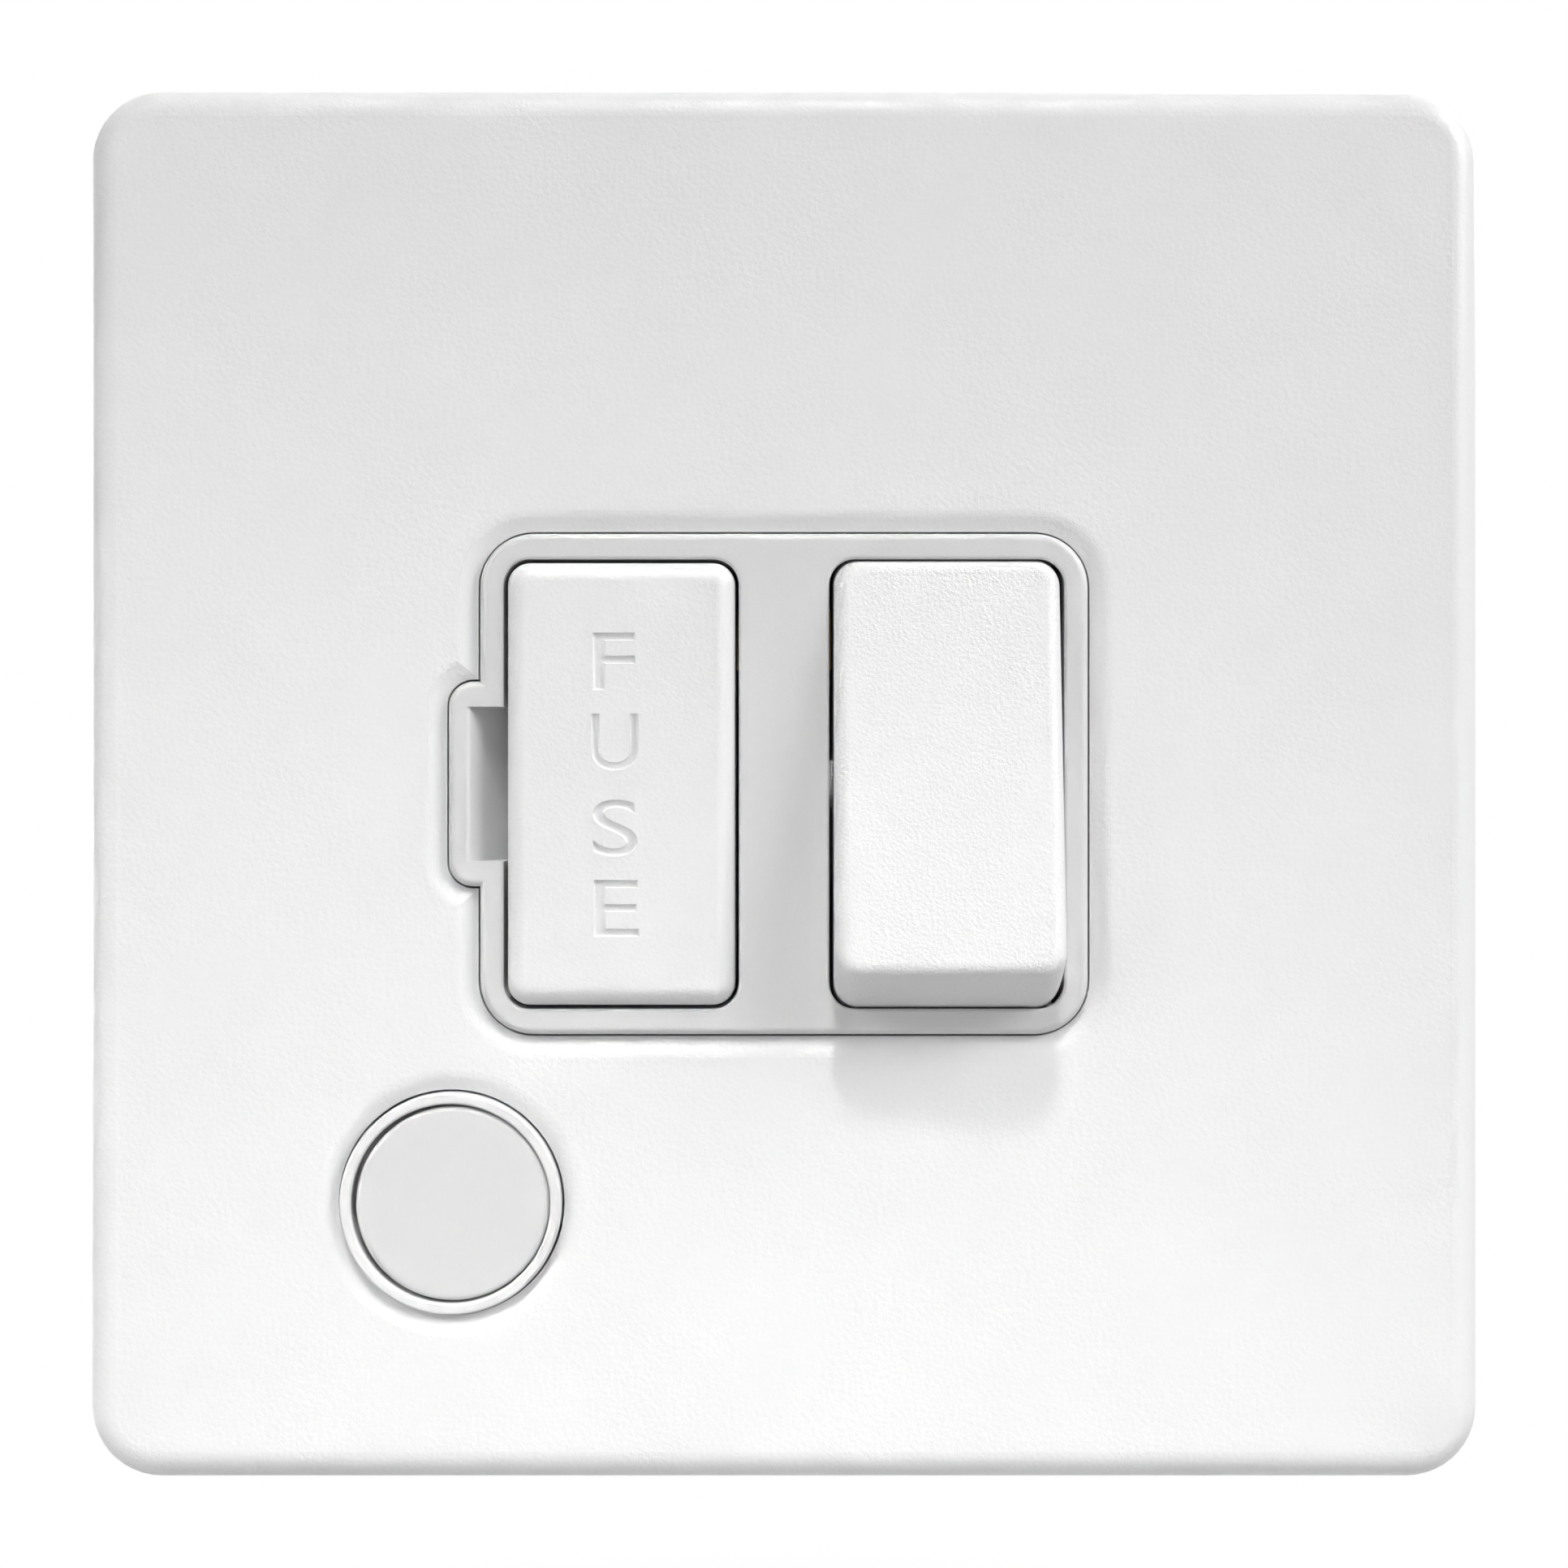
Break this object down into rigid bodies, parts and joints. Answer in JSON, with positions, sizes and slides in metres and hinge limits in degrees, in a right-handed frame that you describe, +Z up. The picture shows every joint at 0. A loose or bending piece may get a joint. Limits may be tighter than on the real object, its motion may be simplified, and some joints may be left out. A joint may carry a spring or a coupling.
{
  "type": "switched fused connection unit",
  "caption": "Flat square wall plate with a rocker switch, a pull-out fuse carrier and a blanked flex outlet at the lower left; a terminal housing stands behind it.",
  "frame": {"origin": "centre of the two wall fixings, on the wall's surface", "axes": "+X right and +Z up on the wall as the user sees it, +Y into the wall"},
  "size_m": [0.086, 0.0225, 0.086],
  "materials": {
    "plate_paint": "white satin powder coat with a fine grain",
    "white_moulding": "white moulding with a fine spark texture",
    "outlet_moulding": "white moulding, semi-gloss",
    "frame_steel": "zinc plated, dull",
    "housing_moulding": "off-white thermoset moulding",
    "brass": "drawn brass, slightly dulled",
    "contact_silver": "silver alloy, satin",
    "screw_steel": "zinc plated steel",
    "spring_steel": "bright spring wire",
    "plunger_nylon": "natural nylon",
    "fuse_ceramic": "unglazed ceramic",
    "fuse_cap_nickel": "nickel plated"
  },
  "bodies": {
    "base": {"cord_clamp": "housing_moulding", "cord_clamp_screws": "screw_steel", "earth_strap": "brass", "earth_terminal": "brass", "fixed_contact_tips": "contact_silver", "flex_outlet_bush": "outlet_moulding", "front_insert": "white_moulding", "housing_screws": "screw_steel", "line_cradle": "brass", "line_fixed_contact": "brass", "load_fuse_clip": "brass", "load_line_link": "brass", "load_line_terminal": "brass", "load_neutral_terminal": "brass", "mounting_frame": "frame_steel", "neutral_cradle": "brass", "neutral_fixed_contact": "brass", "rear_housing": "housing_moulding", "supply_fuse_clip": "brass", "supply_line_terminal": "brass", "supply_neutral_terminal": "brass", "terminal_screws": "screw_steel"},
    "plate": {"front_plate": "plate_paint"},
    "switch_rocker": {"rocker": "white_moulding", "line_spring": "spring_steel", "neutral_spring": "spring_steel"},
    "line_plunger": {"line_plunger": "plunger_nylon"},
    "neutral_plunger": {"neutral_plunger": "plunger_nylon"},
    "line_lever": {"line_contact_lever": "brass", "line_lever_tip": "contact_silver"},
    "neutral_lever": {"neutral_contact_lever": "brass", "neutral_lever_tip": "contact_silver"},
    "carrier": {"fuse_carrier": "white_moulding", "fuse_barrel": "fuse_ceramic", "fuse_end_caps": "fuse_cap_nickel"},
    "outlet_blank": {"flex_outlet_blank": "outlet_moulding"}
  },
  "joints": [
    {"name": "rocker_tilt", "type": "hinge", "parent": "base", "child": "switch_rocker", "pos_m": [0.01, -0.0012, 0], "axis": [1, 0, 0], "range_deg": [0, 20]},
    {"name": "line_lever_rock", "type": "hinge", "parent": "base", "child": "line_lever", "pos_m": [0.00665, 0.00736, 0], "axis": [1, 0, 0], "range_deg": [-12, 0]},
    {"name": "neutral_lever_rock", "type": "hinge", "parent": "base", "child": "neutral_lever", "pos_m": [0.01335, 0.00736, 0], "axis": [1, 0, 0], "range_deg": [-12, 0]},
    {"name": "line_plunger_slide", "type": "slide", "parent": "switch_rocker", "child": "line_plunger", "axis": [0, -0.9848, 0.1736], "range_m": [0, 0.0005], "stiffness_N_per_m": 300, "springref_m": -0.001, "deforming": ["line_spring"]},
    {"name": "neutral_plunger_slide", "type": "slide", "parent": "switch_rocker", "child": "neutral_plunger", "axis": [0, -0.9848, 0.1736], "range_m": [0, 0.0005], "stiffness_N_per_m": 300, "springref_m": -0.001, "deforming": ["neutral_spring"]},
    {"name": "fuse_carrier_slide", "type": "slide", "parent": "base", "child": "carrier", "axis": [0, -1, 0], "range_m": [0, 0.016]},
    {"name": "plate_unclip", "type": "slide", "parent": "base", "child": "plate", "axis": [0, -1, 0], "range_m": [0, 0.015]},
    {"name": "outlet_blank_slide", "type": "slide", "parent": "base", "child": "outlet_blank", "axis": [0, -1, 0], "range_m": [0, 0.008]}
  ],
  "couplings": [
    {"joint": "line_lever_rock", "follows": "rocker_tilt", "ratio": -0.6},
    {"joint": "neutral_lever_rock", "follows": "rocker_tilt", "ratio": -0.6}
  ]
}
